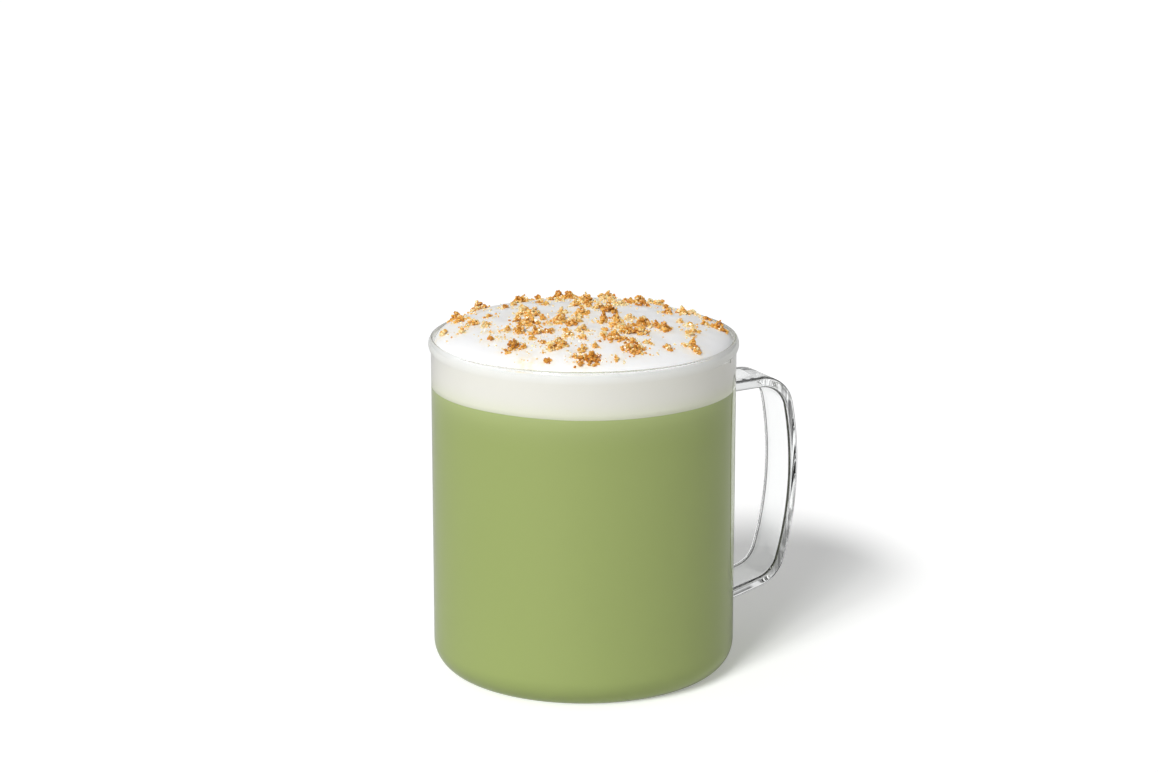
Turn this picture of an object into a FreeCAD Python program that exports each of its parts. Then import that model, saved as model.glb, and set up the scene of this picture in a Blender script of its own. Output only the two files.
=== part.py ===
import FreeCAD, Part
import math
import os
import Sketcher

# A glass mug of matcha latte under a dome of milk foam.
# Origin: centre of the flat base. +Z is up and the handle points along +X.

doc = FreeCAD.newDocument("matcha_latte")

# Driving dimensions: millimetres, and degrees for the two slopes.
dimensions = [
    ("mug_radius", 42.5, "outer radius of the straight wall"),
    ("mug_height", 95.15, "base to the top of the rim"),
    ("wall_thickness", 1.3, "glass wall"),
    ("base_thickness", 1.7, "glass floor"),
    ("corner_radius", 7.8, "outer rounding between wall and base"),
    ("bead_proud", 0.7, "how far the rim bead stands out of the wall"),
    ("bead_half_height", 1.85, "widest part of the bead down from the top of the rim"),
    ("bead_top_radius", 0.62, "rounding over the top of the rim"),
    ("strap_width", 15.0, "handle strap, across"),
    ("strap_thickness", 3.0, "handle strap, inner face to outer face"),
    ("strap_edge_radius", 0.9, "rounding along the strap's four edges"),
    ("handle_reach", 22.85, "wall to the outermost point of the strap"),
    ("upper_arm_drop", 18.2, "rim down to the middle of the upper arm at the wall"),
    ("lower_arm_height", 14.35, "base up to the middle of the lower arm at the wall"),
    ("upper_arm_slope", 2.0, "rise of the upper arm away from the wall"),
    ("lower_arm_slope", 15.0, "rise of the lower arm away from the wall"),
    ("upper_bend_radius", 9.0, "middle of the strap round the upper bend"),
    ("lower_bend_radius", 9.5, "middle of the strap round the lower bend"),
    ("grip_radius", 95.0, "long outward curve of the grip"),
    ("grip_rise", 5.9, "outermost point of the grip above halfway between the arms"),
    ("root_inset", 2.5, "how far the strap's ends run in past the wall's outside before the bore trims them"),
    ("root_fillet", 2.0, "rounding where the strap grows out of the wall"),
    ("foam_band", 13.45, "rim down to the line between foam and latte"),
    ("foam_edge_drop", 1.45, "rim down to where the foam leaves the glass"),
    ("foam_rise", 7.6, "foam edge up to the crest of the dome"),
    ("foam_shoulder_radius", 5.0, "rounded shoulder of the dome"),
    ("fill_gap", 0.04, "clearance round the latte and the foam"),
]
sheet = doc.addObject("Spreadsheet::Sheet", "sizes")
for row, (alias, value, meaning) in enumerate(dimensions, start=1):
    sheet.set("A%d" % row, meaning)
    sheet.set("B%d" % row, str(value))
    sheet.setAlias("B%d" % row, alias)
doc.recompute()
size = {alias: float(sheet.get(alias)) for alias, value, meaning in dimensions}


def point(across, up):
    return FreeCAD.Vector(across, up, 0)


def line(sketch, start, end):
    return sketch.addGeometry(Part.LineSegment(point(*start), point(*end)), False)


def arc(sketch, centre, radius, start_angle, end_angle):
    circle = Part.Circle(point(*centre), FreeCAD.Vector(0, 0, 1), radius)
    piece = Part.ArcOfCircle(circle, math.radians(start_angle), math.radians(end_angle))
    return sketch.addGeometry(piece, False)


def constrain(sketch, kind, *items):
    return sketch.addConstraint(Sketcher.Constraint(kind, *items))


def drive(sketch, name, kind, items, start_value, expression):
    """A named sketch dimension that follows the spreadsheet."""
    index = sketch.addConstraint(Sketcher.Constraint(kind, *items, start_value))
    sketch.renameConstraint(index, name)
    sketch.setExpression("Constraints." + name, expression)


def sketch_on(body, name, role):
    """An empty sketch on one of the body's own origin planes."""
    plane = next(item for item in body.Origin.OriginFeatures if item.Role == role)
    sketch = body.newObject("Sketcher::SketchObject", name)
    sketch.AttachmentSupport = (plane, "")
    sketch.MapMode = "FlatFace"
    return sketch


def new_body(label):
    body = doc.addObject("PartDesign::Body", label)
    body.Label = label
    body.Placement = FreeCAD.Placement(FreeCAD.Vector(0, 0, 0), FreeCAD.Rotation())
    return body


def revolve(body, sketch, name):
    turn = body.newObject("PartDesign::Revolution", name)
    turn.Profile = sketch
    turn.ReferenceAxis = (sketch, ["V_Axis"])
    turn.Angle = 360.0
    sketch.Visibility = False
    return turn


# Point codes of a sketch element: its start, its end and its centre.
START, END, CENTRE = 1, 2, 3
ORIGIN, VERTICAL_AXIS = (-1, 1), -2


def bead_side_radius():
    """Radius of the two long arcs of the oval bead, from its half width, half height and top."""
    half_width = (size["wall_thickness"] + size["bead_proud"]) / 2
    top = size["bead_top_radius"]
    climb = size["bead_half_height"] - top
    return (half_width ** 2 + climb ** 2 - top ** 2) / (2 * (half_width - top))


def mug_wall(body):
    """Half section of the glass vessel, turned about the vertical axis."""
    outer = size["mug_radius"]
    inner = outer - size["wall_thickness"]
    floor = size["base_thickness"]
    corner = size["corner_radius"]
    inner_corner = corner - size["wall_thickness"]
    top = size["mug_height"]
    bead_height = top - size["bead_half_height"]
    bead_reach = outer + size["bead_proud"]
    cap = size["bead_top_radius"]
    side = bead_side_radius()
    cap_angle = math.degrees(math.asin((size["bead_half_height"] - cap) / (side - cap)))
    join_angle = -math.degrees(math.acos(1 - size["bead_proud"] / side))
    join_height = bead_height + side * math.sin(math.radians(join_angle))

    sketch = sketch_on(body, "mug_section", "YZ_Plane")
    base = line(sketch, (0, 0), (outer - corner, 0))
    outer_corner = arc(sketch, (outer - corner, corner), corner, 270, 360)
    wall = line(sketch, (outer, corner), (outer, join_height))
    bead_out = arc(sketch, (bead_reach - side, bead_height), side, join_angle, cap_angle)
    bead_cap = arc(sketch, ((inner + bead_reach) / 2, top - cap), cap, cap_angle, 180 - cap_angle)
    bead_in = arc(sketch, (inner + side, bead_height), side, 180 - cap_angle, 180)
    lining = line(sketch, (inner, bead_height), (inner, floor + inner_corner))
    inside = arc(sketch, (inner - inner_corner, floor + inner_corner), inner_corner, 270, 360)
    bottom = line(sketch, (inner - inner_corner, floor), (0, floor))
    axis = line(sketch, (0, floor), (0, 0))

    constrain(sketch, "Coincident", base, START, *ORIGIN)
    constrain(sketch, "Coincident", wall, END, bead_out, START)
    constrain(sketch, "Coincident", bottom, END, axis, START)
    constrain(sketch, "Coincident", axis, END, base, START)
    constrain(sketch, "PointOnObject", bottom, END, VERTICAL_AXIS)
    for first, second in ((base, outer_corner), (outer_corner, wall), (bead_out, bead_cap),
                          (bead_cap, bead_in), (bead_in, lining)):
        constrain(sketch, "Tangent", first, END, second, START)
    constrain(sketch, "Tangent", lining, END, inside, END)
    constrain(sketch, "Tangent", inside, START, bottom, START)
    constrain(sketch, "Horizontal", base)
    constrain(sketch, "Horizontal", bottom)
    constrain(sketch, "Vertical", wall)
    constrain(sketch, "Vertical", lining)
    constrain(sketch, "Equal", bead_out, bead_in)

    half_width = "(sizes.wall_thickness + sizes.bead_proud) / 2"
    climb = "(sizes.bead_half_height - sizes.bead_top_radius)"
    side_expression = "((%s)^2 + %s^2 - sizes.bead_top_radius^2) / (2 * (%s - sizes.bead_top_radius))" % (
        half_width, climb, half_width)
    bead_expression = "sizes.mug_height - sizes.bead_half_height"
    drive(sketch, "outer_radius", "DistanceX", (*ORIGIN, wall, START), outer, "sizes.mug_radius")
    drive(sketch, "inner_radius", "DistanceX", (*ORIGIN, lining, END), inner,
          "sizes.mug_radius - sizes.wall_thickness")
    drive(sketch, "floor", "DistanceY", (*ORIGIN, bottom, END), floor, "sizes.base_thickness")
    drive(sketch, "outer_corner", "Radius", (outer_corner,), corner, "sizes.corner_radius")
    drive(sketch, "inner_corner", "Radius", (inside,), inner_corner,
          "sizes.corner_radius - sizes.wall_thickness")
    drive(sketch, "bead_side", "Radius", (bead_out,), side, side_expression)
    drive(sketch, "bead_cap", "Radius", (bead_cap,), cap, "sizes.bead_top_radius")
    drive(sketch, "bead_centre", "DistanceX", (*ORIGIN, bead_out, CENTRE), bead_reach - side,
          "sizes.mug_radius + sizes.bead_proud - Constraints.bead_side / 1 mm")
    drive(sketch, "bead_level", "DistanceY", (*ORIGIN, bead_out, CENTRE), bead_height, bead_expression)
    drive(sketch, "bead_inside_level", "DistanceY", (*ORIGIN, bead_in, CENTRE), bead_height, bead_expression)
    return revolve(body, sketch, "mug_vessel")


def strap_path(body):
    """Middle line of the handle: arm, bend, long grip curve, bend and arm, all tangent."""
    root = size["mug_radius"] - size["root_inset"]
    upper = size["mug_height"] - size["upper_arm_drop"]
    lower = size["lower_arm_height"]
    grip = size["grip_radius"]
    grip_level = (upper + lower) / 2 + size["grip_rise"]
    grip_centre = size["mug_radius"] + size["handle_reach"] - size["strap_thickness"] / 2 - grip
    rise = math.radians(size["upper_arm_slope"])
    fall = math.radians(size["lower_arm_slope"])
    upper_bend = size["upper_bend_radius"]
    lower_bend = size["lower_bend_radius"]

    def bend_centre(arm_height, slope, side, radius):
        """Centre of a bend that touches the arm's line and the grip curve from inside."""
        anchor = (root + side * radius * math.sin(slope), arm_height - side * radius * math.cos(slope))
        run = (math.cos(slope), math.sin(slope))
        away = (anchor[0] - grip_centre, anchor[1] - grip_level)
        along = away[0] * run[0] + away[1] * run[1]
        offset = away[0] ** 2 + away[1] ** 2 - (grip - radius) ** 2
        reach = -along + math.sqrt(along ** 2 - offset)
        return anchor[0] + reach * run[0], anchor[1] + reach * run[1]

    top_centre = bend_centre(upper, rise, 1, upper_bend)
    low_centre = bend_centre(lower, fall, -1, lower_bend)
    top_touch = math.degrees(math.atan2(top_centre[1] - grip_level, top_centre[0] - grip_centre))
    low_touch = math.degrees(math.atan2(low_centre[1] - grip_level, low_centre[0] - grip_centre))
    top_start = (top_centre[0] - upper_bend * math.sin(rise), top_centre[1] + upper_bend * math.cos(rise))
    low_start = (low_centre[0] + lower_bend * math.sin(fall), low_centre[1] - lower_bend * math.cos(fall))

    sketch = sketch_on(body, "strap_path", "XZ_Plane")
    arm = line(sketch, (root, upper), top_start)
    upper_arc = arc(sketch, top_centre, upper_bend, top_touch, 90 + math.degrees(rise))
    grip_arc = arc(sketch, (grip_centre, grip_level), grip, low_touch, top_touch)
    lower_arc = arc(sketch, low_centre, lower_bend, math.degrees(fall) - 90, low_touch)
    foot = line(sketch, low_start, (root, lower))

    constrain(sketch, "Tangent", arm, END, upper_arc, END)
    constrain(sketch, "Tangent", upper_arc, START, grip_arc, END)
    constrain(sketch, "Tangent", grip_arc, START, lower_arc, END)
    constrain(sketch, "Tangent", lower_arc, START, foot, START)

    root_expression = "sizes.mug_radius - sizes.root_inset"
    upper_expression = "sizes.mug_height - sizes.upper_arm_drop"
    drive(sketch, "arm_root", "DistanceX", (*ORIGIN, arm, START), root, root_expression)
    drive(sketch, "arm_level", "DistanceY", (*ORIGIN, arm, START), upper, upper_expression)
    drive(sketch, "foot_root", "DistanceX", (*ORIGIN, foot, END), root, root_expression)
    drive(sketch, "foot_level", "DistanceY", (*ORIGIN, foot, END), lower, "sizes.lower_arm_height")
    drive(sketch, "arm_slope", "Angle", (-1, START, arm, START), rise, "sizes.upper_arm_slope * 1 deg")
    drive(sketch, "foot_slope", "Angle", (-1, START, foot, END), fall, "sizes.lower_arm_slope * 1 deg")
    drive(sketch, "upper_bend", "Radius", (upper_arc,), upper_bend, "sizes.upper_bend_radius")
    drive(sketch, "lower_bend", "Radius", (lower_arc,), lower_bend, "sizes.lower_bend_radius")
    drive(sketch, "grip", "Radius", (grip_arc,), grip, "sizes.grip_radius")
    drive(sketch, "grip_level", "DistanceY", (*ORIGIN, grip_arc, CENTRE), grip_level,
          "(sizes.mug_height - sizes.upper_arm_drop + sizes.lower_arm_height) / 2 + sizes.grip_rise")
    drive(sketch, "grip_depth", "DistanceX", (grip_arc, CENTRE, *ORIGIN), -grip_centre,
          "sizes.grip_radius + sizes.strap_thickness / 2 - sizes.mug_radius - sizes.handle_reach")
    return sketch


def strap_section(body):
    """Flat section of the strap with rounded edges, at the root of the upper arm."""
    half_width = size["strap_width"] / 2
    half_depth = size["strap_thickness"] / 2
    edge = size["strap_edge_radius"]
    level = size["mug_height"] - size["upper_arm_drop"]
    sketch = sketch_on(body, "strap_section", "YZ_Plane")
    sketch.setExpression("AttachmentOffset.Base.z", "sizes.mug_radius - sizes.root_inset")

    flat = half_width - edge
    tall = half_depth - edge
    low = line(sketch, (-flat, level - half_depth), (flat, level - half_depth))
    arcs = [arc(sketch, (flat, level - tall), edge, 270, 360)]
    right = line(sketch, (half_width, level - tall), (half_width, level + tall))
    arcs.append(arc(sketch, (flat, level + tall), edge, 0, 90))
    high = line(sketch, (flat, level + half_depth), (-flat, level + half_depth))
    arcs.append(arc(sketch, (-flat, level + tall), edge, 90, 180))
    left = line(sketch, (-half_width, level + tall), (-half_width, level - tall))
    arcs.append(arc(sketch, (-flat, level - tall), edge, 180, 270))
    sides = [low, right, high, left]
    for number, corner in enumerate(arcs):
        constrain(sketch, "Tangent", sides[number], END, corner, START)
        constrain(sketch, "Tangent", corner, END, sides[(number + 1) % len(sides)], START)
    for corner in arcs[1:]:
        constrain(sketch, "Equal", arcs[0], corner)
    for flat_side in (low, high):
        constrain(sketch, "Horizontal", flat_side)
    constrain(sketch, "Vertical", right)
    constrain(sketch, "Symmetric", right, START, left, END, VERTICAL_AXIS)
    drive(sketch, "edge", "Radius", (arcs[0],), edge, "sizes.strap_edge_radius")
    drive(sketch, "half_width", "DistanceX", (*ORIGIN, right, START), half_width, "sizes.strap_width / 2")
    drive(sketch, "underside", "DistanceY", (*ORIGIN, low, START), level - half_depth,
          "sizes.mug_height - sizes.upper_arm_drop - sizes.strap_thickness / 2")
    drive(sketch, "upside", "DistanceY", (*ORIGIN, high, START), level + half_depth,
          "sizes.mug_height - sizes.upper_arm_drop + sizes.strap_thickness / 2")
    return sketch


def strap_handle(body):
    path = strap_path(body)
    section = strap_section(body)
    doc.recompute()
    strap = body.newObject("PartDesign::AdditivePipe", "strap")
    strap.Profile = section
    strap.Spine = (path, ["Edge%d" % number for number in range(1, len(path.Geometry) + 1)])
    strap.Transition = "Transformed"
    path.Visibility = False
    section.Visibility = False
    doc.recompute()
    return strap


def bore(body):
    """Trims the strap's ends flush with the inside of the wall."""
    inner = size["mug_radius"] - size["wall_thickness"]
    low = size["base_thickness"] + size["corner_radius"] - size["wall_thickness"]
    high = size["mug_height"] - size["bead_half_height"]
    sketch = sketch_on(body, "bore_section", "YZ_Plane")
    bottom = line(sketch, (0, low), (inner, low))
    side = line(sketch, (inner, low), (inner, high))
    top = line(sketch, (inner, high), (0, high))
    axis = line(sketch, (0, high), (0, low))
    loop = (bottom, side, top, axis)
    for number, edge in enumerate(loop):
        constrain(sketch, "Coincident", edge, END, loop[(number + 1) % len(loop)], START)
    constrain(sketch, "PointOnObject", bottom, START, VERTICAL_AXIS)
    for flat in (bottom, top):
        constrain(sketch, "Horizontal", flat)
    for upright in (side, axis):
        constrain(sketch, "Vertical", upright)
    drive(sketch, "radius", "DistanceX", (*ORIGIN, side, START), inner,
          "sizes.mug_radius - sizes.wall_thickness")
    drive(sketch, "low", "DistanceY", (*ORIGIN, side, START), low,
          "sizes.base_thickness + sizes.corner_radius - sizes.wall_thickness")
    drive(sketch, "high", "DistanceY", (*ORIGIN, side, END), high, "sizes.mug_height - sizes.bead_half_height")
    cut = body.newObject("PartDesign::Groove", "bore")
    cut.Profile = sketch
    cut.ReferenceAxis = (sketch, ["V_Axis"])
    cut.Angle = 360.0
    sketch.Visibility = False
    doc.recompute()
    return cut


def root_edges(shape):
    """Edges where the strap leaves the outer wall: they lie on the wall beside the two arms."""
    found = []
    arm_levels = (size["mug_height"] - size["upper_arm_drop"], size["lower_arm_height"])
    reach = size["strap_thickness"] * 1.5
    for number, edge in enumerate(shape.Edges, start=1):
        spots = [edge.valueAt(edge.FirstParameter + share * (edge.LastParameter - edge.FirstParameter))
                 for share in (0.0, 0.25, 0.5, 0.75, 1.0)]
        on_wall = all(abs(math.hypot(spot.x, spot.y) - size["mug_radius"]) < 0.01 for spot in spots)
        beside_arm = any(all(abs(spot.z - level) < reach for spot in spots) for level in arm_levels)
        if on_wall and beside_arm and all(spot.x > 0 for spot in spots):
            found.append("Edge%d" % number)
    return found


def glass_mug():
    body = new_body("glass_mug")
    mug_wall(body)
    doc.recompute()
    strap_handle(body)
    trimmed = bore(body)
    roots = body.newObject("PartDesign::Fillet", "strap_roots")
    roots.Base = (trimmed, root_edges(trimmed.Shape))
    roots.setExpression("Radius", "sizes.root_fillet")
    return body


def latte():
    """Green drink: it fills the mug from the glass floor up to the foam."""
    radius = size["mug_radius"] - size["wall_thickness"] - size["fill_gap"]
    floor = size["base_thickness"] + size["fill_gap"]
    corner = size["corner_radius"] - size["wall_thickness"] - size["fill_gap"]
    level = size["mug_height"] - size["foam_band"]
    body = new_body("matcha_latte")
    sketch = sketch_on(body, "latte_section", "XZ_Plane")
    bottom = line(sketch, (0, floor), (radius - corner, floor))
    bend = arc(sketch, (radius - corner, floor + corner), corner, 270, 360)
    side = line(sketch, (radius, floor + corner), (radius, level))
    surface = line(sketch, (radius, level), (0, level))
    axis = line(sketch, (0, level), (0, floor))
    constrain(sketch, "Tangent", bottom, END, bend, START)
    constrain(sketch, "Tangent", bend, END, side, START)
    constrain(sketch, "Coincident", side, END, surface, START)
    constrain(sketch, "Coincident", surface, END, axis, START)
    constrain(sketch, "Coincident", axis, END, bottom, START)
    constrain(sketch, "PointOnObject", bottom, START, VERTICAL_AXIS)
    constrain(sketch, "Horizontal", bottom)
    constrain(sketch, "Vertical", side)
    constrain(sketch, "Horizontal", surface)
    constrain(sketch, "Vertical", axis)
    drive(sketch, "radius", "DistanceX", (*ORIGIN, side, START), radius,
          "sizes.mug_radius - sizes.wall_thickness - sizes.fill_gap")
    drive(sketch, "floor", "DistanceY", (*ORIGIN, bottom, START), floor,
          "sizes.base_thickness + sizes.fill_gap")
    drive(sketch, "corner", "Radius", (bend,), corner,
          "sizes.corner_radius - sizes.wall_thickness - sizes.fill_gap")
    drive(sketch, "level", "DistanceY", (*ORIGIN, surface, START), level,
          "sizes.mug_height - sizes.foam_band")
    revolve(body, sketch, "latte_fill")
    return body


def foam():
    """White foam: a band against the glass and a dome that stands above the rim."""
    radius = size["mug_radius"] - size["wall_thickness"] - size["fill_gap"]
    level = size["mug_height"] - size["foam_band"] + size["fill_gap"]
    edge = size["mug_height"] - size["foam_edge_drop"]
    crest = edge + size["foam_rise"]
    shoulder = size["foam_shoulder_radius"]
    shoulder_centre = radius - shoulder
    crown = ((shoulder_centre ** 2 + size["foam_rise"] ** 2 - shoulder ** 2)
             / (2 * (size["foam_rise"] - shoulder)))
    lean = math.degrees(math.atan2(edge - crest + crown, shoulder_centre))
    body = new_body("milk_foam")
    sketch = sketch_on(body, "foam_section", "XZ_Plane")
    underside = line(sketch, (0, level), (radius, level))
    side = line(sketch, (radius, level), (radius, edge))
    round_edge = arc(sketch, (shoulder_centre, edge), shoulder, 0, lean)
    dome = arc(sketch, (0, crest - crown), crown, lean, 90)
    axis = line(sketch, (0, crest), (0, level))
    constrain(sketch, "Coincident", underside, END, side, START)
    constrain(sketch, "Tangent", side, END, round_edge, START)
    constrain(sketch, "Tangent", round_edge, END, dome, START)
    constrain(sketch, "Coincident", dome, END, axis, START)
    constrain(sketch, "Coincident", axis, END, underside, START)
    constrain(sketch, "PointOnObject", underside, START, VERTICAL_AXIS)
    constrain(sketch, "PointOnObject", dome, CENTRE, VERTICAL_AXIS)
    constrain(sketch, "Horizontal", underside)
    constrain(sketch, "Vertical", side)
    constrain(sketch, "Vertical", axis)
    drive(sketch, "radius", "DistanceX", (*ORIGIN, side, START), radius,
          "sizes.mug_radius - sizes.wall_thickness - sizes.fill_gap")
    drive(sketch, "level", "DistanceY", (*ORIGIN, underside, START), level,
          "sizes.mug_height - sizes.foam_band + sizes.fill_gap")
    drive(sketch, "edge", "DistanceY", (*ORIGIN, side, END), edge,
          "sizes.mug_height - sizes.foam_edge_drop")
    drive(sketch, "shoulder", "Radius", (round_edge,), shoulder, "sizes.foam_shoulder_radius")
    drive(sketch, "crest", "DistanceY", (*ORIGIN, axis, START), crest,
          "sizes.mug_height - sizes.foam_edge_drop + sizes.foam_rise")
    revolve(body, sketch, "foam_fill")
    return body


def check(bodies):
    """Stops when any object failed or any body is not one valid solid."""
    for item in doc.Objects:
        for word in ("Invalid", "Error"):
            if word in item.State:
                raise RuntimeError("%s is %s" % (item.Label, item.State))
    for body in bodies:
        shape = body.Shape
        if shape.isNull() or not shape.isValid() or len(shape.Solids) != 1:
            raise RuntimeError("%s is not one valid solid" % body.Label)


bodies = [glass_mug(), latte(), foam()]
doc.recompute()
check(bodies)
os.makedirs("parts", exist_ok=True)
for body in bodies:
    body.Shape.exportStep(os.path.join("parts", body.Label + ".step"))
    box = body.Shape.BoundBox
    print("%s: %.1f x %.1f x %.1f mm, top %.2f, %.0f mm3" % (
        body.Label, box.XLength, box.YLength, box.ZLength, box.ZMax, body.Shape.Volume))
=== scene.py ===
import math
import random

import bmesh
import bpy
import numpy as np
from mathutils import Matrix, Vector, noise


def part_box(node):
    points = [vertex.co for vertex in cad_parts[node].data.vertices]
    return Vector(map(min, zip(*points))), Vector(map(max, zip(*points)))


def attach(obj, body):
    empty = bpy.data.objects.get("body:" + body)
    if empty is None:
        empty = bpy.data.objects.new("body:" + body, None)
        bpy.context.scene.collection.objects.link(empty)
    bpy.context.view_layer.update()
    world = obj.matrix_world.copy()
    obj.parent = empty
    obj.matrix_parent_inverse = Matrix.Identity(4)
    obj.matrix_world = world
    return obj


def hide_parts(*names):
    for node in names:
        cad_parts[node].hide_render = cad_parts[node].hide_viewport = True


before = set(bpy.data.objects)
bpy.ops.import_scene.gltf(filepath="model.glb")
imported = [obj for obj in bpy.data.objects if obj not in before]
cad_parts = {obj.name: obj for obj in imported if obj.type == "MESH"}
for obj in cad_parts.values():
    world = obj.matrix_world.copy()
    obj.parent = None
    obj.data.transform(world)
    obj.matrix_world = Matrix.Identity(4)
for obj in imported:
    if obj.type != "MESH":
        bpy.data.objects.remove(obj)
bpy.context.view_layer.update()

mm = 0.001  # the file works in metres, and small sizes are written as millimetres
dice = random.Random(4)

# The lining of the glass, the drink line and the foam, as the CAD pieces give them.
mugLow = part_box("glass_mug")[0]
latteLow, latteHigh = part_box("matcha_latte")
foamLow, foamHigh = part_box("milk_foam")
fillGap = foamLow.z - latteHigh.z
liningRadius = latteHigh.x + fillGap
glassFloor = latteLow.z - fillGap
drinkLine = latteHigh.z
intoGlass = 0.15 * mm  # the fill reaches this far into the wall, so no air shows
fillRadius = liningRadius + intoGlass
fillFloor = glassFloor - intoGlass

# Which way is right and away for someone who faces the mug with its handle at the right.
viewTurn = 26.0  # degrees round from facing the mug along +Y
facing = math.radians(-viewTurn)
rightWay = Vector((math.cos(facing), math.sin(facing), 0.0))
awayWay = Vector((-math.sin(facing), math.cos(facing), 0.0))


def makePiece(name, points, faces, smooth=True):
    mesh = bpy.data.meshes.new(name)
    mesh.from_pydata(points, [], faces)
    mesh.update()
    mesh.polygons.foreach_set("use_smooth", [smooth] * len(mesh.polygons))
    piece = bpy.data.objects.new(name, mesh)
    bpy.context.collection.objects.link(piece)
    return piece


def turned(name, outline, steps, heightAt):
    # Turns an outline of (radius, height) round the axis; it starts and ends on the axis.
    rings = outline[1:-1]
    points = []
    for radius, height in rings:
        for step in range(steps):
            angle = 2 * math.pi * step / steps
            x, y = radius * math.cos(angle), radius * math.sin(angle)
            points.append((x, y, heightAt(x, y, height)))
    faces = []
    for ring in range(len(rings) - 1):
        low, high = ring * steps, (ring + 1) * steps
        for step in range(steps):
            after = (step + 1) % steps
            faces.append((low + step, low + after, high + after, high + step))
    first, last = len(points), len(points) + 1
    for pole in (outline[0], outline[-1]):
        points.append((0.0, 0.0, heightAt(0.0, 0.0, pole[1])))
    top = (len(rings) - 1) * steps
    for step in range(steps):
        after = (step + 1) % steps
        faces.append((first, after, step))
        faces.append((last, top + step, top + after))
    return makePiece(name, points, faces)


def arcPoints(centre, radius, start, end, steps):
    # Points of an arc in degrees, both ends included.
    angles = [math.radians(start + (end - start) * step / steps) for step in range(steps + 1)]
    return [(centre[0] + radius * math.cos(a), centre[1] + radius * math.sin(a)) for a in angles]


def newMaterial(name):
    material = bpy.data.materials.new(name)
    material.use_nodes = True
    material.node_tree.nodes.clear()
    output = material.node_tree.nodes.new("ShaderNodeOutputMaterial")
    return material, material.node_tree, output


def addNode(tree, kind, **settings):
    node = tree.nodes.new(kind)
    for key, value in settings.items():
        setattr(node, key, value)
    return node


def feed(tree, socket, value):
    # Links a socket to another one, or sets its value.
    if isinstance(value, bpy.types.NodeSocket):
        tree.links.new(value, socket)
    elif isinstance(value, tuple) and len(value) == 3 and socket.type == "RGBA":
        socket.default_value = (*value, 1.0)
    else:
        socket.default_value = value


def mathNode(tree, operation, *values):
    node = addNode(tree, "ShaderNodeMath", operation=operation)
    for socket, value in zip(node.inputs, values):
        feed(tree, socket, value)
    return node.outputs[0]


def noiseNode(tree, scale, detail=2.0, roughness=0.5, stretch=(1.0, 1.0, 1.0)):
    where = addNode(tree, "ShaderNodeTexCoord")
    mapping = addNode(tree, "ShaderNodeMapping")
    feed(tree, mapping.inputs["Vector"], where.outputs["Object"])
    mapping.inputs["Scale"].default_value = stretch
    texture = addNode(tree, "ShaderNodeTexNoise")
    feed(tree, texture.inputs["Vector"], mapping.outputs["Vector"])
    feed(tree, texture.inputs["Scale"], scale)
    feed(tree, texture.inputs["Detail"], detail)
    feed(tree, texture.inputs["Roughness"], roughness)
    return texture.outputs["Fac"]


def heightShare(tree, low, high):
    # 0 at height low and 1 at height high.
    where = addNode(tree, "ShaderNodeTexCoord")
    split = addNode(tree, "ShaderNodeSeparateXYZ")
    feed(tree, split.inputs["Vector"], where.outputs["Object"])
    return stretchTo(tree, split.outputs["Z"], low, high)


def stretchTo(tree, source, low, high):
    spread = addNode(tree, "ShaderNodeMapRange")
    feed(tree, spread.inputs["Value"], source)
    feed(tree, spread.inputs["From Min"], low)
    feed(tree, spread.inputs["From Max"], high)
    return spread.outputs["Result"]


def mixColour(tree, share, first, second):
    mix = addNode(tree, "ShaderNodeMix", data_type="RGBA")
    for socket, value in zip((mix.inputs[0], mix.inputs[6], mix.inputs[7]), (share, first, second)):
        feed(tree, socket, value)
    return mix.outputs[2]


def bumpNode(tree, source, strength, distance):
    bump = addNode(tree, "ShaderNodeBump")
    feed(tree, bump.inputs["Strength"], strength)
    feed(tree, bump.inputs["Distance"], distance)
    feed(tree, bump.inputs["Height"], source)
    return bump.outputs["Normal"]


def mixShader(tree, share, first, second):
    mix = addNode(tree, "ShaderNodeMixShader")
    feed(tree, mix.inputs[0], share)
    tree.links.new(first, mix.inputs[1])
    tree.links.new(second, mix.inputs[2])
    return mix.outputs[0]


# Glass mug.

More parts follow.
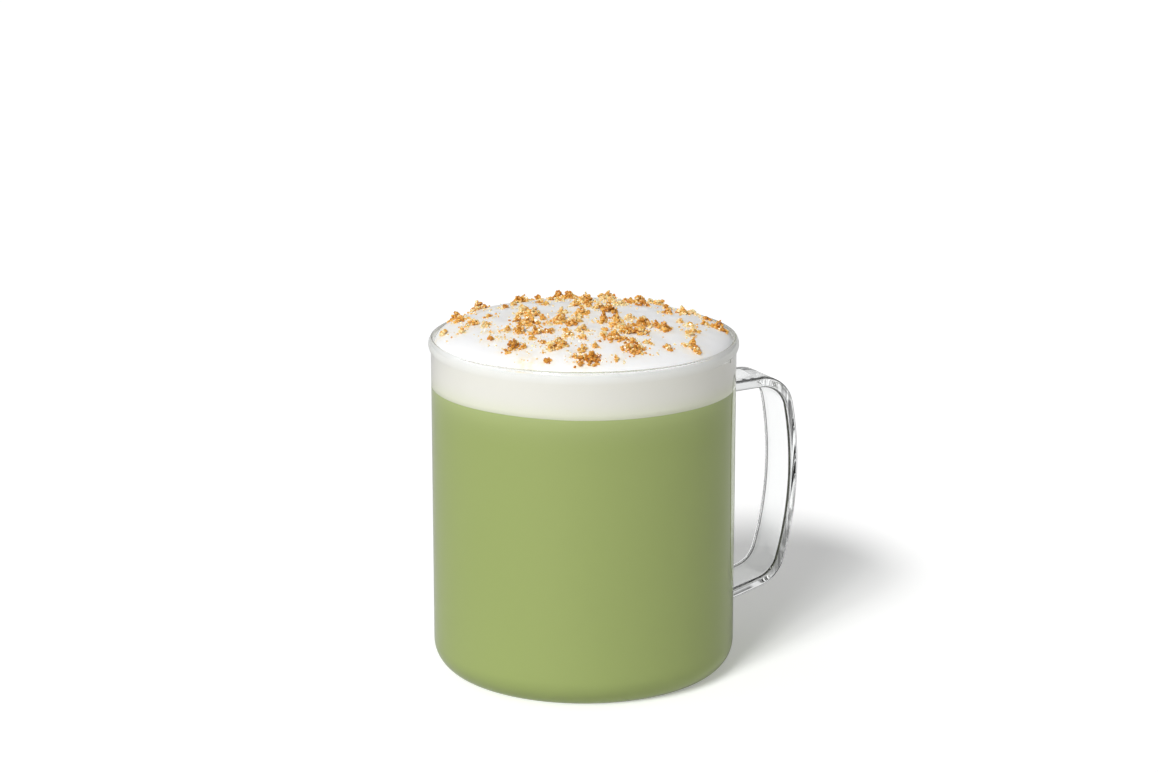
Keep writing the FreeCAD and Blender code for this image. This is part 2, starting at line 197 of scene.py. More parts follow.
mug = {
    "wall": 1.3 * mm,
    "corner": 7.8 * mm,
    "beadProud": 0.7 * mm,
    "beadDrop": 1.85 * mm,
    "beadTop": 0.62 * mm,
    "rim": 95.15 * mm,
    "baseMiddle": 20.0 * mm,  # the flat base has one ring here and one near its edge
    "baseEdge": 0.5 * mm,
    "steps": 360,
    "cornerSteps": 24,
    "liningSteps": 18,
    "beadSteps": 18,
    "capSteps": 12,
    "lipSteps": 8,
    "strapWidth": 15.0 * mm,
    "strapThickness": 3.0 * mm,
    "strapEdge": 0.9 * mm,
    "handleReach": 22.85 * mm,
    "upperDrop": 18.2 * mm,
    "lowerHeight": 14.35 * mm,
    "upperSlope": 2.0,
    "lowerSlope": 15.0,
    "upperBend": 9.0 * mm,
    "lowerBend": 9.5 * mm,
    "gripRadius": 95.0 * mm,
    "gripRise": 5.9 * mm,
    "rootDepth": 2.5 * mm,
    "rootFillet": 2.0 * mm,
    "bendSteps": 44,
    "gripSteps": 60,
    "edgeSteps": 10,
    "filletSteps": 12,
    "tint": (0.97, 0.98, 0.978),
    "ior": 1.5,
    "waviness": 0.012,
    "waveScale": 70.0,
    "waveStretch": (1.0, 1.0, 0.2),
    "waveDepth": 2.0 * mm,
    "lampTint": (0.94, 0.95, 0.95),
    # Painted shade: the strap's rounded edges bend the light most and look dark, so a dark tint with
    # drawn-out streaks is painted into the glass there.
    "paintedEdgeShade": (0.05, 0.05, 0.05),
    "edgeFrom": 6.75 * mm,
    "edgeTo": 7.4 * mm,
    "edgeRise": 0.25 * mm,
    "edgeFade": 0.1 * mm,
    "darkFrom": 0.8 * mm,  # the dark edges begin this far out from the wall
    "darkFull": 1.6 * mm,
    "paintedStreak": 0.75,
    "streakScale": 1500.0,
    "streakStretch": (1.0, 0.3, 0.02),
    "streakShare": (0.48, 0.56),
    "streakFrom": 56.0 * mm,  # streaks lie on the grip only, this far from the mug's axis
    "streakFull": 59.0 * mm,
}
outerRadius = liningRadius + mug["wall"]
rimTop = mug["rim"]


def mugOutline():
    corner, wall, proud = mug["corner"], mug["wall"], mug["beadProud"]
    drop, cap = mug["beadDrop"], mug["beadTop"]
    beadLevel = rimTop - drop
    half = (wall + proud) / 2
    climb = drop - cap
    side = (half ** 2 + climb ** 2 - cap ** 2) / (2 * (half - cap))
    capAngle = math.degrees(math.asin(climb / (side - cap)))
    joinAngle = -math.degrees(math.acos(1 - proud / side))
    inner = corner - wall
    foot = glassFloor + inner
    middle = mug["baseMiddle"]
    outline = [(0.0, 0.0), (middle, 0.0), (outerRadius - corner - mug["baseEdge"], 0.0)]
    outline += arcPoints((outerRadius - corner, corner), corner, 270, 360, mug["cornerSteps"])
    for part in (0.2, 0.4, 0.6, 0.8, 0.93):
        outline.append((outerRadius, corner + (beadLevel - corner) * part))
    # The bead swells outwards, rounds over the rim and comes back to the lining.
    bead = (outerRadius + proud - side, beadLevel)
    outline += arcPoints(bead, side, joinAngle, capAngle, mug["beadSteps"])
    crown = (liningRadius + half, rimTop - cap)
    outline += arcPoints(crown, cap, capAngle, 180 - capAngle, mug["capSteps"])[1:]
    lip = (liningRadius + side, beadLevel)
    outline += arcPoints(lip, side, 180 - capAngle, 180, mug["lipSteps"])[1:]
    for part in (0.8, 0.6, 0.4, 0.2):
        outline.append((liningRadius, foot + (beadLevel - inner) * part))
    outline += arcPoints((liningRadius - inner, foot), inner, 360, 270, mug["liningSteps"])
    outline += [(middle, glassFloor), (0.0, glassFloor)]
    return outline


def strapLine():
    # The middle of the strap in the X-Z plane: straight arm, bend, long grip, bend, straight arm.
    # Gives the two arms as (point, run, out) and the curved part as a list of (point, out).
    gripRadius = mug["gripRadius"]
    upper, lower = rimTop - mug["upperDrop"], mug["lowerHeight"]
    gripLevel = (upper + lower) / 2 + mug["gripRise"]
    gripCentre = outerRadius + mug["handleReach"] - mug["strapThickness"] / 2 - gripRadius
    root = outerRadius - mug["rootDepth"]

    def bendCentre(level, slope, side, radius):
        run = (math.cos(slope), math.sin(slope))
        anchor = (root + side * radius * run[1], level - side * radius * run[0])
        away = (anchor[0] - gripCentre, anchor[1] - gripLevel)
        along = away[0] * run[0] + away[1] * run[1]
        offset = away[0] ** 2 + away[1] ** 2 - (gripRadius - radius) ** 2
        ahead = -along + math.sqrt(along ** 2 - offset)
        return anchor[0] + ahead * run[0], anchor[1] + ahead * run[1]

    rise, fall = math.radians(mug["upperSlope"]), math.radians(mug["lowerSlope"])
    high = bendCentre(upper, rise, 1, mug["upperBend"])
    low = bendCentre(lower, fall, -1, mug["lowerBend"])
    highTouch = math.degrees(math.atan2(high[1] - gripLevel, high[0] - gripCentre))
    lowTouch = math.degrees(math.atan2(low[1] - gripLevel, low[0] - gripCentre))
    arcs = [
        (high, mug["upperBend"], 90 + mug["upperSlope"], highTouch, mug["bendSteps"]),
        ((gripCentre, gripLevel), gripRadius, highTouch, lowTouch, mug["gripSteps"]),
        (low, mug["lowerBend"], lowTouch, mug["lowerSlope"] - 90, mug["bendSteps"]),
    ]
    curve = []
    for centre, radius, start, end, steps in arcs:
        stretch = arcPoints(centre, radius, start, end, steps)
        outs = arcPoints((0.0, 0.0), 1.0, start, end, steps)
        curve += list(zip(stretch, outs))[0 if not curve else 1:]
    upperRun, lowerRun = (math.cos(rise), math.sin(rise)), (math.cos(fall), math.sin(fall))
    upperArm = ((root, upper), upperRun, (-upperRun[1], upperRun[0]))
    lowerArm = ((root, lower), lowerRun, (lowerRun[1], -lowerRun[0]))
    return upperArm, curve, lowerArm


def strapSection():
    # Flat section with rounded edges, as (across, out) and the way each point faces.
    edge = mug["strapEdge"]
    flat, deep = mug["strapWidth"] / 2 - edge, mug["strapThickness"] / 2 - edge
    corners = [(flat, deep, 0), (-flat, deep, 90), (-flat, -deep, 180), (flat, -deep, 270)]
    section = []
    for across, out, start in corners:
        ways = arcPoints((0.0, 0.0), 1.0, start, start + 90, mug["edgeSteps"])
        section += [((across + edge * way[0], out + edge * way[1]), way) for way in ways]
    return section


def strapPiece():
    upperArm, curve, lowerArm = strapLine()
    section = strapSection()
    fillet, steps = mug["rootFillet"], mug["filletSteps"]
    # Distances from the wall's outside: two inside the wall, where the pieces join, then the
    # fillet's own, closest together at the wall, and two on the plain arm.
    offs = [-mug["wall"] / 2, -mug["wall"] / 4]
    offs += [fillet * (step / steps) ** 2 for step in range(steps + 1)]
    offs += [fillet * 1.3, fillet * 1.7]

    def armRings(arm):
        (x0, z0), run, outWay = arm
        rings = []
        for off in offs:
            flare = fillet
            if off > 0:
                flare = fillet - math.sqrt(max(0.0, fillet ** 2 - max(0.0, fillet - off) ** 2))
            ring = []
            for (across, out), way in section:
                side, rise = across + flare * way[0], out + flare * way[1]
                x = math.sqrt((outerRadius + off) ** 2 - side ** 2)
                ahead = (x - x0 - rise * outWay[0]) / run[0]
                ring.append((x, side, z0 + ahead * run[1] + rise * outWay[1]))
            rings.append(ring)
        return rings

    middle = []
    for (x, z), outWay in curve:
        middle.append([(x + out * outWay[0], across, z + out * outWay[1])
                       for (across, out), way in section])
    rings = armRings(upperArm) + middle + armRings(lowerArm)[::-1]
    count = len(section)
    points = [point for ring in rings for point in ring]
    faces = []
    for ring in range(len(rings) - 1):
        here, there = ring * count, (ring + 1) * count
        for step in range(count):
            after = (step + 1) % count
            faces.append((here + step, here + after, there + after, there + step))
    for ring, turn in ((0, 1), (len(rings) - 1, -1)):
        centre = [sum(point[axis] for point in rings[ring]) / count for axis in range(3)]
        points.append(tuple(centre))
        for step in range(count):
            corner = (len(points) - 1, ring * count + (step + 1) % count, ring * count + step)
            faces.append(corner[::turn])
    return makePiece("strap", points, faces)


def glassMaterial():
    material, tree, output = newMaterial("clearGlass")
    body = addNode(tree, "ShaderNodeBsdfPrincipled")
    where = addNode(tree, "ShaderNodeTexCoord")
    split = addNode(tree, "ShaderNodeSeparateXYZ")
    feed(tree, split.inputs["Vector"], where.outputs["Object"])
    fromAxis = split.outputs["X"]
    across = mathNode(tree, "ABSOLUTE", split.outputs["Y"])
    # Painted shade: the strap's edges and the streaks on its grip are tinted dark, for the light the
    # glass bends away there.
    onStrap = stretchTo(tree, fromAxis, outerRadius + mug["darkFrom"], outerRadius + mug["darkFull"])
    inner = stretchTo(tree, across, mug["edgeFrom"], mug["edgeFrom"] + mug["edgeRise"])
    outer = stretchTo(tree, across, mug["edgeTo"], mug["edgeTo"] - mug["edgeFade"])
    onGrip = stretchTo(tree, fromAxis, mug["streakFrom"], mug["streakFull"])
    drawnOut = noiseNode(tree, mug["streakScale"], stretch=mug["streakStretch"])
    lines = stretchTo(tree, drawnOut, *mug["streakShare"])
    paintedStreak = mathNode(tree, "MULTIPLY", mathNode(tree, "SUBTRACT", 1.0, outer), lines)
    paintedStreak = mathNode(tree, "MULTIPLY", mathNode(tree, "MULTIPLY", paintedStreak, onGrip), mug["paintedStreak"])
    dark = mathNode(tree, "MULTIPLY", mathNode(tree, "MAXIMUM", outer, paintedStreak), inner)
    tint = mixColour(tree, mathNode(tree, "MULTIPLY", dark, onStrap), mug["tint"], mug["paintedEdgeShade"])
    feed(tree, body.inputs["Base Color"], tint)
    feed(tree, body.inputs["Roughness"], 0.0)
    feed(tree, body.inputs["IOR"], mug["ior"])
    feed(tree, body.inputs["Transmission Weight"], 1.0)
    waves = noiseNode(tree, mug["waveScale"], 1.0, 0.4, mug["waveStretch"])
    feed(tree, body.inputs["Normal"], bumpNode(tree, waves, mug["waviness"], mug["waveDepth"]))
    passing = addNode(tree, "ShaderNodeBsdfTransparent")
    feed(tree, passing.inputs["Color"], mug["lampTint"])
    # Light that falls through the glass goes straight, so what it holds is lit evenly.
    path = addNode(tree, "ShaderNodeLightPath")
    falling = mathNode(tree, "MAXIMUM", path.outputs["Is Shadow Ray"], path.outputs["Is Diffuse Ray"])
    surface = mixShader(tree, falling, body.outputs[0], passing.outputs[0])
    tree.links.new(surface, output.inputs["Surface"])
    return material


def turnFacesOut(piece):
    shell = bmesh.new()
    shell.from_mesh(piece.data)
    bmesh.ops.recalc_face_normals(shell, faces=shell.faces)
    shell.to_mesh(piece.data)
    shell.free()


def makeMug():
    vessel = turned("mugGlass", mugOutline(), mug["steps"], lambda x, y, height: height)
    handle = strapPiece()
    for piece in (vessel, handle):
        turnFacesOut(piece)
    join = vessel.modifiers.new("joinHandle", "BOOLEAN")
    join.operation = "UNION"
    join.solver = "EXACT"
    join.object = handle
    bpy.context.view_layer.update()
    joined = vessel.evaluated_get(bpy.context.evaluated_depsgraph_get())
    whole = bpy.data.meshes.new_from_object(joined)
    vessel.modifiers.clear()
    vessel.data = whole
    bpy.data.objects.remove(handle)
    whole.polygons.foreach_set("use_smooth", [True] * len(whole.polygons))
    whole.materials.clear()
    whole.materials.append(glassMaterial())
    return vessel


mugPiece = makeMug()
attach(mugPiece, "root")
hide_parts("glass_mug")
print("glass: mug and handle,", len(mugPiece.data.polygons), "faces")


# Latte.

latte = {
    "floorCorner": 6.5 * mm,
    "floorMiddle": 20.0 * mm,
    "lineWave": 0.12 * mm,
    "waves": [(1.0, 2, 0.6), (0.6, 5, 2.0)],  # how strong, how many round the mug, and where
    "green": (0.33, 0.392, 0.13),
    "deepGreen": (0.305, 0.37, 0.116),
    "milkyGreen": (0.44, 0.50, 0.23),
    "milkyDepth": 9.0 * mm,
    "milkyFall": 1.6,
    "milkyShare": 0.45,
    "cloudScale": 26.0,
    "cloudStretch": (1.0, 1.0, 0.35),
    "roughness": 0.5,
    "specular": 0.05,
    "steps": 360,
    "cornerSteps": 24,
    "wallSteps": 20,
}
softEdge = 0.06 * mm  # where a flat top meets the wall, the outline turns over this little


def lineWave(x, y):
    # The drink line isn't quite level all round.
    share = min(1.0, math.hypot(x, y) / fillRadius)
    angle = math.atan2(y, x)
    wave = sum(strong * math.sin(count * angle + start) for strong, count, start in latte["waves"])
    return latte["lineWave"] * share ** 4 * wave


def latteOutline():
    corner, steps = latte["floorCorner"] + intoGlass, latte["wallSteps"]
    foot = fillFloor + corner
    outline = [(0.0, fillFloor), (latte["floorMiddle"], fillFloor)]
    outline += arcPoints((fillRadius - corner, foot), corner, 270, 360, latte["cornerSteps"])
    for part in range(1, steps + 1):
        outline.append((fillRadius, foot + (drinkLine - softEdge - foot) * part / steps))
    outline += [(fillRadius - softEdge, drinkLine), (fillRadius * 0.5, drinkLine), (0.0, drinkLine)]
    return outline


def latteHeight(x, y, height):
    return height + (lineWave(x, y) if height > drinkLine - 2 * softEdge else 0.0)


def latteMaterial():
    material, tree, output = newMaterial("greenLatte")
    body = addNode(tree, "ShaderNodeBsdfPrincipled")
    cloud = noiseNode(tree, latte["cloudScale"], 3.0, stretch=latte["cloudStretch"])
    base = mixColour(tree, cloud, latte["deepGreen"], latte["green"])
    near = heightShare(tree, drinkLine - latte["milkyDepth"], drinkLine)
    top = mathNode(tree, "POWER", near, latte["milkyFall"])
    milky = mathNode(tree, "MULTIPLY", top, latte["milkyShare"])
    feed(tree, body.inputs["Base Color"], mixColour(tree, milky, base, latte["milkyGreen"]))
    feed(tree, body.inputs["Roughness"], latte["roughness"])
    feed(tree, body.inputs["Specular IOR Level"], latte["specular"])
    tree.links.new(body.outputs[0], output.inputs["Surface"])
    return material


lattePiece = turned("latte", latteOutline(), latte["steps"], latteHeight)
lattePiece.data.materials.append(latteMaterial())
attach(lattePiece, "root")
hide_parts("matcha_latte")
print("latte: poured to the drink line")


# Sugar, where it lies.

sprinkle = {
    "clumps": 112,
    # Broad patches where more sugar fell: millimetres right, away, and how far each reaches.
    "patches": [(0, 0, 40), (0, 0, 40), (0, -20, 20), (10, 10, 30)],
    "bareEdge": 2.0 * mm,
    "closest": 3.0 * mm,
    "widths": (1.5, 4.4),  # in millimetres
    "mostlySmall": 1.8,  # over 1 for more clumps near the smaller width
    "toneShares": (1, 4, 6, 3, 2),  # how many of each tone, from a pale melted spot to dark
}


def placeOnMug(right, away):
    place = rightWay * right * mm + awayWay * away * mm
    return place.x, place.y


def sprinkleClumps():
    # Each clump is millimetres right and away, its width, and its tone.
    clumps = []
    while len(clumps) < sprinkle["clumps"]:
        right, away, reach = dice.choice(sprinkle["patches"])
        far = reach * math.sqrt(dice.random())
        angle = dice.uniform(0, 2 * math.pi)
        right += far * math.cos(angle)
        away += far * math.sin(angle)
        if math.hypot(right, away) * mm > liningRadius - sprinkle["bareEdge"]:
            continue
        if any(math.hypot(right - other[0], away - other[1]) * mm < sprinkle["closest"]
               for other in clumps):
            continue
        low, high = sprinkle["widths"]
        width = low + (high - low) * dice.random() ** sprinkle["mostlySmall"]
        tone = dice.choices(range(len(sprinkle["toneShares"])), sprinkle["toneShares"])[0]
        clumps.append((right, away, width, tone))
    return clumps


sugarClumps = sprinkleClumps()
print("sugar: places for", len(sugarClumps), "clumps")


# Milk foam.

foam = {
    "edgeDrop": 1.45 * mm,
    "squareness": 2.5,
    "lean": 0.6 * mm,
    "ripple": 0.35 * mm,
    "rippleLength": 10.0 * mm,
    "fineRipple": 0.5,  # how strong the smaller ripples are, beside the larger
    "fineTimes": 2.3,  # and how much shorter
    "calmEdge": 6,  # over 1 for ripples that reach nearer the glass
    "white": (0.95, 0.95, 0.95),
    "shade": (0.92, 0.925, 0.93),
    "cream": (0.80, 0.78, 0.715),
    "creamBelow": 2.0 * mm,
    "creamAbove": 1.0 * mm,
    "tinted": (0.73, 0.76, 0.49),
    "tintDepth": 6.0 * mm,
    "tintShare": 0.6,
    "melted": (0.93, 0.74, 0.40),
    "meltPerWidth": 0.7,
    "meltPast": 1.1,  # a melted spot reaches this many millimetres more
    "meltPale": 0.7,
    "meltDark": 0.6,
    "roughness": 0.55,
    "specular": 0.25,
    "softness": 0.2,
    "softDepth": 1.5 * mm,
    "bubbleScale": 2600.0,
    "bubbleStrength": 0.12,
    "bubbleDepth": 0.2 * mm,
    "steps": 360,
    "domeRings": 120,
    "sideSteps": 8,
}
foamEdge = rimTop - foam["edgeDrop"]
foamRise = foamHigh.z - foamEdge


def foamTop(x, y):
    # Height of the foam's surface: a flat-topped dome that leans a little, with soft ripples.
    share = min(math.hypot(x, y) / fillRadius, 1.0)
    dome = math.sqrt(max(0.0, 1 - share ** foam["squareness"]))
    right = (x * rightWay.x + y * rightWay.y) / fillRadius
    place = Vector((x, y, 0.0)) / foam["rippleLength"]
    fine = noise.noise(place * foam["fineTimes"] + Vector((7, 3, 1)))
    ripple = noise.noise(place) + foam["fineRipple"] * fine - 0.5
    settle = min(1.0, (1 - share) * foam["calmEdge"])
    return foamEdge + foamRise * dome - foam["lean"] * right * dome + foam["ripple"] * ripple * settle


def foamOutline():
    outline = [(0.0, drinkLine), (fillRadius * 0.5, drinkLine), (fillRadius - softEdge, drinkLine)]
    low = drinkLine + softEdge
    steps, rings = foam["sideSteps"], foam["domeRings"]
    outline += [(fillRadius, low + (foamEdge - low) * part / steps) for part in range(steps + 1)]
    for ring in range(1, rings):
        turn = math.pi / 2 * (1 - ring / rings)
        outline.append((fillRadius * math.sin(turn) ** (2 / foam["squareness"]), rimTop))
    outline.append((0.0, rimTop))
    return outline


def foamHeight(x, y, height):
    if height > foamEdge + softEdge:
        return foamTop(x, y)
    return height + (lineWave(x, y) if height < drinkLine + 2 * softEdge else 0.0)


def stainFoam(piece):
    # How far sugar has melted into the foam, kept on the mesh for the material.
    mesh = piece.data
    spots = np.empty(len(mesh.vertices) * 3)
    mesh.vertices.foreach_get("co", spots)
    spots = spots.reshape(-1, 3)
    melt = np.zeros(len(spots))
    for right, away, width, tone in sugarClumps:
        x, y = placeOnMug(right, away)
        reach = (foam["meltPerWidth"] * width + foam["meltPast"]) * mm
        strength = foam["meltPale"] if tone < 2 else foam["meltDark"]
        far = ((spots[:, 0] - x) ** 2 + (spots[:, 1] - y) ** 2) / reach ** 2
        melt = np.maximum(melt, strength * np.exp(-far))
    melt[spots[:, 2] < foamEdge] = 0.0
    mesh.attributes.new("melt", "FLOAT", "POINT").data.foreach_set("value", melt)


def foamMaterial():
    material, tree, output = newMaterial("whiteFoam")
    body = addNode(tree, "ShaderNodeBsdfPrincipled")
    base = mixColour(tree, noiseNode(tree, 90.0, 3.0), foam["shade"], foam["white"])
    # Cream under the glass, green-tinted just above the drink, and yellow where sugar melts.
    aboveRim = heightShare(tree, foamEdge - foam["creamBelow"], foamEdge + foam["creamAbove"])
    base = mixColour(tree, mathNode(tree, "SUBTRACT", 1.0, aboveRim), base, foam["cream"])
    aboveLine = heightShare(tree, drinkLine, drinkLine + foam["tintDepth"])
    near = mathNode(tree, "POWER", mathNode(tree, "SUBTRACT", 1.0, aboveLine), 2.0)
    base = mixColour(tree, mathNode(tree, "MULTIPLY", near, foam["tintShare"]), base, foam["tinted"])
    stain = addNode(tree, "ShaderNodeAttribute", attribute_name="melt")
    blotch = stretchTo(tree, noiseNode(tree, 700.0, 2.0), 0.25, 0.75)
    share = mathNode(tree, "MULTIPLY", stain.outputs["Fac"], blotch)
    base = mixColour(tree, share, base, foam["melted"])
    feed(tree, body.inputs["Base Color"], base)
    feed(tree, body.inputs["Roughness"], foam["roughness"])
    feed(tree, body.inputs["Specular IOR Level"], foam["specular"])
    feed(tree, body.inputs["Subsurface Weight"], foam["softness"])
    body.inputs["Subsurface Radius"].default_value = (1.0, 0.95, 0.9)
    feed(tree, body.inputs["Subsurface Scale"], foam["softDepth"])
    bubbles = noiseNode(tree, foam["bubbleScale"])
    bumps = bumpNode(tree, bubbles, foam["bubbleStrength"], foam["bubbleDepth"])
    feed(tree, body.inputs["Normal"], bumps)
    tree.links.new(body.outputs[0], output.inputs["Surface"])
    return material


foamPiece = turned("foam", foamOutline(), foam["steps"], foamHeight)
stainFoam(foamPiece)
foamPiece.data.materials.append(foamMaterial())
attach(foamPiece, "root")
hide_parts("milk_foam")
print("foam: dome set on the latte")


# Sugar crystals.

sugar = {
    "grain": 0.66 * mm,
    "shapes": 14,
    "density": 6.0,
    "pile": 0.62,
    "spread": 1.15,
    "narrow": (0.45, 1.0),
    "ragged": 0.29,
    "sizes": (0.55, 1.3),
    "meltedSize": 0.6,
    "tilt": 0.9,
    "sunk": 0.22,
    "strays": 1000,
    "straySizes": (0.4, 0.85),
    "strayReach": 1.3,  # in millimetres, and more for a wide clump
    "strayPerWidth": 0.4,
    "clumpMargin": 1.2 * mm,
    "strayMargin": 1.5 * mm,
    # Share of dark and of amber grains in a clump of each tone; the rest are pale.
    "mixes": [(0.0, 0.15), (0.0, 0.4), (0.12, 0.62), (0.42, 0.46), (0.7, 0.27)],
    "kinds": {
        "sugarDark": ((0.50, 0.185, 0.018), (0.70, 0.32, 0.045)),
        "sugarAmber": ((0.76, 0.38, 0.07), (0.88, 0.53, 0.15)),
        "sugarPale": ((0.90, 0.64, 0.29), (0.95, 0.79, 0.47)),
    },
    "roughness": 0.22,
    "ior": 1.54,
    "glow": 0.35,
    "glowDepth": 0.3 * mm,
    "gritScale": 3200.0,
    "gritStrength": 0.2,
    "gritDepth": 0.1 * mm,
}


def crystalShape():
    # One blocky crystal, about 1 across, with cut corners and uneven sides.
    sides = [dice.uniform(0.42, 0.56), dice.uniform(0.34, 0.5), dice.uniform(0.28, 0.44)]
    shell = bmesh.new()
    for corner in range(8):
        way = [1 if corner >> axis & 1 else -1 for axis in range(3)]
        for axis in range(3):
            cut = dice.uniform(0.55, 0.9)
            shell.verts.new([way[k] * sides[k] * (cut if k == axis else 1.0) * dice.uniform(0.9, 1.0)
                             for k in range(3)])
    hull = bmesh.ops.convex_hull(shell, input=shell.verts)
    spare = list(set(hull["geom_interior"] + hull["geom_unused"]))
    bmesh.ops.delete(shell, geom=spare, context="VERTS")
    shell.verts.index_update()
    shape = ([vertex.co.copy() for vertex in shell.verts],
             [[vertex.index for vertex in face.verts] for face in shell.faces])
    shell.free()
    return shape


def sugarMaterial(name, deep, light):
    material, tree, output = newMaterial(name)
    body = addNode(tree, "ShaderNodeBsdfPrincipled")
    base = mixColour(tree, stretchTo(tree, noiseNode(tree, 900.0, 2.0), 0.3, 0.7), deep, light)
    feed(tree, body.inputs["Base Color"], base)
    feed(tree, body.inputs["Roughness"], sugar["roughness"])
    feed(tree, body.inputs["IOR"], sugar["ior"])
    feed(tree, body.inputs["Subsurface Weight"], sugar["glow"])
    body.inputs["Subsurface Radius"].default_value = (1.0, 0.6, 0.4)
    feed(tree, body.inputs["Subsurface Scale"], sugar["glowDepth"])
    grit = noiseNode(tree, sugar["gritScale"])
    bumps = bumpNode(tree, grit, sugar["gritStrength"], sugar["gritDepth"])
    feed(tree, body.inputs["Normal"], bumps)
    tree.links.new(body.outputs[0], output.inputs["Surface"])
    return material


shapes = [crystalShape() for number in range(sugar["shapes"])]
crystals = {kind: ([], []) for kind in sugar["kinds"]}


def dropCrystal(kind, x, y, size, raised):
    points, faces = crystals[kind]
    corners, sides = dice.choice(shapes)
    tilt = sugar["tilt"]
    turn = Matrix.Rotation(dice.uniform(0, 2 * math.pi), 3, "Z")
    turn = turn @ Matrix.Rotation(dice.uniform(-tilt, tilt), 3, "X")
    turn = turn @ Matrix.Rotation(dice.uniform(-tilt, tilt), 3, "Y")
    at = Vector((x, y, foamTop(x, y) + sugar["sunk"] * size + raised))
    start = len(points)
    points.extend((at + turn @ corner * size)[:] for corner in corners)
    faces.extend([start + index for index in side] for side in sides)


def kindFor(tone):
    dark, amber = sugar["mixes"][tone]
    chance = dice.random()
    if chance < dark:
        return "sugarDark"
    return "sugarAmber" if chance < dark + amber else "sugarPale"


def pileClump(right, away, width, tone):
    # Ragged and drawn out one way, since fallen sugar doesn't lie in round heaps.
    width *= sugar["spread"]
    narrow = dice.uniform(*sugar["narrow"])
    lie = dice.uniform(0, math.pi)
    count = 3 if tone == 0 else max(3, round(sugar["density"] * narrow * width ** 2))
    for number in range(count):
        along = dice.gauss(0, sugar["ragged"] * width)
        side = dice.gauss(0, sugar["ragged"] * width * narrow)
        x, y = placeOnMug(right + along * math.cos(lie) - side * math.sin(lie),
                          away + along * math.sin(lie) + side * math.cos(lie))
        if math.hypot(x, y) > liningRadius - sugar["clumpMargin"]:
            continue
        size = sugar["grain"] * dice.uniform(*sugar["sizes"])
        size *= sugar["meltedSize"] if tone == 0 else 1.0
        middle = max(0.0, 1 - 2 * math.hypot(along, side) / width)
        heap = sugar["pile"] * width * mm * middle * dice.random()
        dropCrystal(kindFor(tone), x, y, size, 0.0 if tone == 0 else heap)


def scatterStrays():
    # Loose grains lie round the clumps.
    made = 0
    while made < sugar["strays"]:
        right, away, width, tone = dice.choice(sugarClumps)
        spread = sugar["strayReach"] + sugar["strayPerWidth"] * width
        x, y = placeOnMug(right + dice.gauss(0, spread), away + dice.gauss(0, spread))
        if math.hypot(x, y) > liningRadius - sugar["strayMargin"]:
            continue
        kind = kindFor(dice.choice((0, 0, 1)))
        dropCrystal(kind, x, y, sugar["grain"] * dice.uniform(*sugar["straySizes"]), 0.0)
        made += 1


for clump in sugarClumps:
    pileClump(*clump)
scatterStrays()
for kind, (deep, light) in sugar["kinds"].items():
    points, faces = crystals[kind]
    piece = makePiece(kind, points, faces, smooth=False)
    piece.data.materials.append(sugarMaterial(kind, deep, light))
    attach(piece, "root")
    print("sugar:", kind, len(faces), "faces")


# Studio.

studio = {
    "background": 1.0,
    "skyLight": 0.09,
    # Power, softness, turn from the view and height. Key lamps glint, and cast the shadow.
    "keyLamps": [
        ("keyLamp1", 0.95, 9.0, -37.0, 42.5),
        ("keyLamp2", 0.95, 9.0, -30.0, 40.0),
        ("keyLamp3", 0.95, 9.0, -23.0, 38.0),
    ],
    "softLamps": [
        ("sideLamp", 0.42, 80.0, -92.0, 26.0),
        ("backLamp", 0.5, 40.0, 102.0, 12.0),
        ("topLamp", 0.32, 120.0, 0.0, 89.0),
    ],
    "shadowAbove": 60.0,  # a soft lamp this high shades what lies under it as well
    "floorShade": 0.95,
    "floorGlow": 0.25,
    "floorReach": 6.0,
    "mirrored": 0.5,  # how white the studio looks in reflections
    "cards": 4.0,
    "cardTurn": 45.0,
    "cardEdge": 0.2,  # nearer 1 for narrower cards
    "cardSoft": 0.1,
    "cardDark": 0.95,
}
view = {
    "turn": viewTurn,
    "distance": 0.8106,
    "height": 0.2865,
    "sideStep": -0.0013,
    "tilt": 14.247,
    "lens": 93.14,
    "sensor": 36.0,
}


def seenShare(tree):
    # How much of the white studio is seen straight and through glass (all of it), in a
    # reflection (part of it), and by the light that falls on the object (none).
    rays = addNode(tree, "ShaderNodeLightPath").outputs
    straight = mathNode(tree, "MAXIMUM", rays["Is Camera Ray"], rays["Is Transmission Ray"])
    mirrored = mathNode(tree, "MULTIPLY", rays["Is Glossy Ray"], studio["mirrored"])
    return mathNode(tree, "MAXIMUM", straight, mirrored)


def makeFloor():
    half = studio["floorReach"]
    low = mugLow.z - 0.05 * mm
    corners = [(-half, -half, low), (half, -half, low), (half, half, low), (-half, half, low)]
    floor = makePiece("floor", corners, [(0, 1, 2, 3)])
    material, tree, output = newMaterial("paleFloor")
    surface = addNode(tree, "ShaderNodeBsdfDiffuse")
    # What is seen through glass counts as glossy too, so it's taken off what is dimmed.
    rays = addNode(tree, "ShaderNodeLightPath").outputs
    reflected = mathNode(tree, "SUBTRACT", rays["Is Glossy Ray"], rays["Is Transmission Ray"])
    dimmed = mathNode(tree, "MULTIPLY", reflected, 1.0 - studio["mirrored"])
    shade = mixColour(tree, dimmed, (studio["floorShade"],) * 3, (0.0, 0.0, 0.0))
    feed(tree, surface.inputs["Color"], shade)
    glow = addNode(tree, "ShaderNodeEmission")
    feed(tree, glow.inputs["Strength"], mathNode(tree, "MULTIPLY", seenShare(tree), studio["floorGlow"]))
    both = addNode(tree, "ShaderNodeAddShader")
    tree.links.new(surface.outputs[0], both.inputs[0])
    tree.links.new(glow.outputs[0], both.inputs[1])
    tree.links.new(both.outputs[0], output.inputs["Surface"])
    floor.data.materials.append(material)


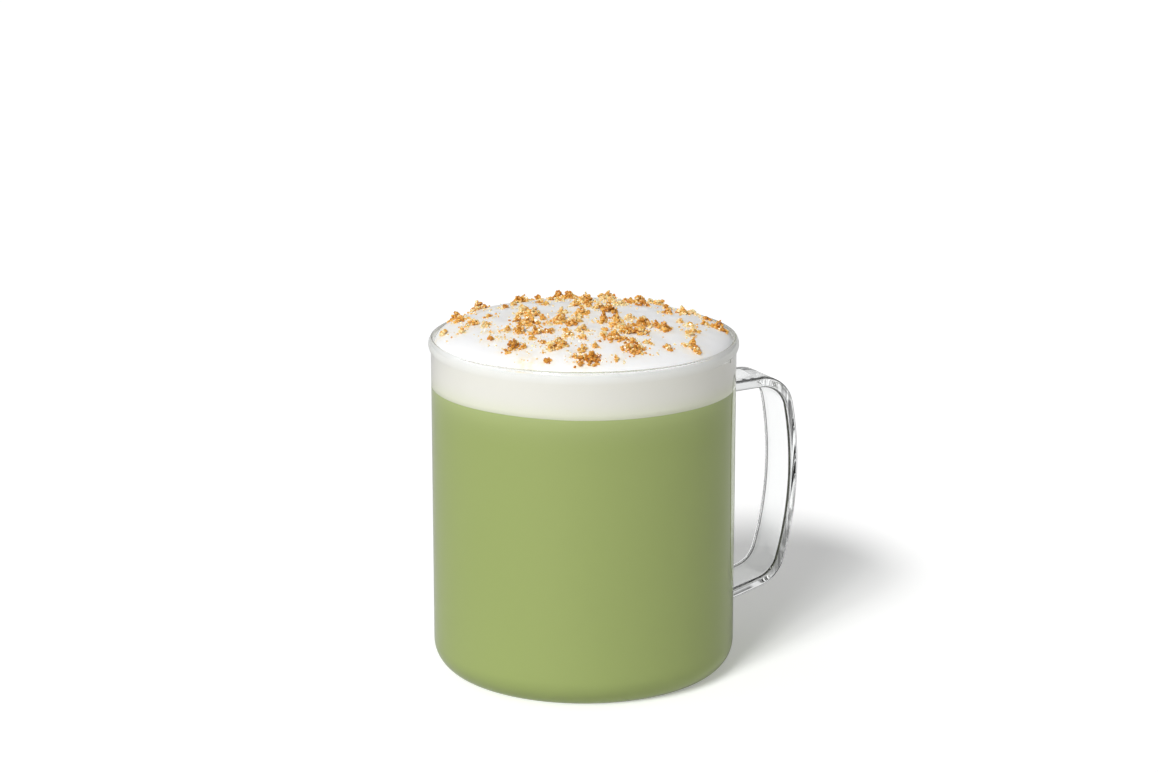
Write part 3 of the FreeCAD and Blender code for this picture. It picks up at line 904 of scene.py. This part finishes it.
def darkCards(tree):
    # Narrow dark cards stand round the studio, for the dark lines in the glass handle.
    where = addNode(tree, "ShaderNodeTexCoord")
    split = addNode(tree, "ShaderNodeSeparateXYZ")
    feed(tree, split.inputs["Vector"], where.outputs["Generated"])
    angle = mathNode(tree, "ARCTAN2", split.outputs["Y"], split.outputs["X"])
    angle = mathNode(tree, "ADD", angle, math.radians(view["turn"] + studio["cardTurn"]))
    wave = mathNode(tree, "COSINE", mathNode(tree, "MULTIPLY", angle, studio["cards"]))
    edge, soft = studio["cardEdge"], studio["cardSoft"]
    return stretchTo(tree, wave, edge - soft, edge + soft)


def makeSky():
    world = bpy.data.worlds.new("studioSky")
    bpy.context.scene.world = world
    world.use_nodes = True
    tree = world.node_tree
    tree.nodes.clear()
    output = addNode(tree, "ShaderNodeOutputWorld")
    light = addNode(tree, "ShaderNodeBackground")
    feed(tree, light.inputs["Strength"], studio["skyLight"])
    backdrop = addNode(tree, "ShaderNodeBackground")
    path = addNode(tree, "ShaderNodeLightPath")
    hidden = mathNode(tree, "SUBTRACT", 1.0, path.outputs["Is Camera Ray"])
    card = mathNode(tree, "MULTIPLY", hidden, darkCards(tree))
    card = mathNode(tree, "MULTIPLY", card, studio["cardDark"])
    feed(tree, backdrop.inputs["Strength"], mathNode(tree, "SUBTRACT", studio["background"], card))
    surface = mixShader(tree, seenShare(tree), light.outputs[0], backdrop.outputs[0])
    tree.links.new(surface, output.inputs["Surface"])


def makeLamp(isKey, name, power, softness, turn, height):
    lamp = bpy.data.lights.new(name, "SUN")
    lamp.energy = power
    lamp.angle = math.radians(softness)
    lamp.use_shadow = isKey or height > studio["shadowAbove"]
    holder = bpy.data.objects.new(name, lamp)
    bpy.context.collection.objects.link(holder)
    around, up = math.radians(turn - view["turn"]), math.radians(height)
    flat = math.cos(up)
    towards = Vector((math.sin(around) * flat, -math.cos(around) * flat, math.sin(up)))
    holder.visible_glossy = isKey
    holder.location = towards * 2.0
    holder.rotation_euler = towards.to_track_quat("Z", "Y").to_euler()


def makeCamera():
    camera = bpy.data.objects.new("camera", bpy.data.cameras.new("camera"))
    bpy.context.collection.objects.link(camera)
    turn = Matrix.Rotation(math.radians(-view["turn"]), 4, "Z")
    camera.location = turn @ Vector((view["sideStep"], -view["distance"], view["height"]))
    camera.rotation_euler = (math.radians(90 - view["tilt"]), 0.0, math.radians(-view["turn"]))
    camera.data.lens = view["lens"]
    camera.data.sensor_width = view["sensor"]
    camera.data.clip_start = 0.05
    camera.data.clip_end = 50.0
    bpy.context.scene.camera = camera


makeFloor()
makeSky()
for lamp in studio["keyLamps"]:
    makeLamp(True, *lamp)
for lamp in studio["softLamps"]:
    makeLamp(False, *lamp)
makeCamera()
bpy.context.scene.view_settings.view_transform = "Standard"
print("studio: floor, sky, lamps and camera")
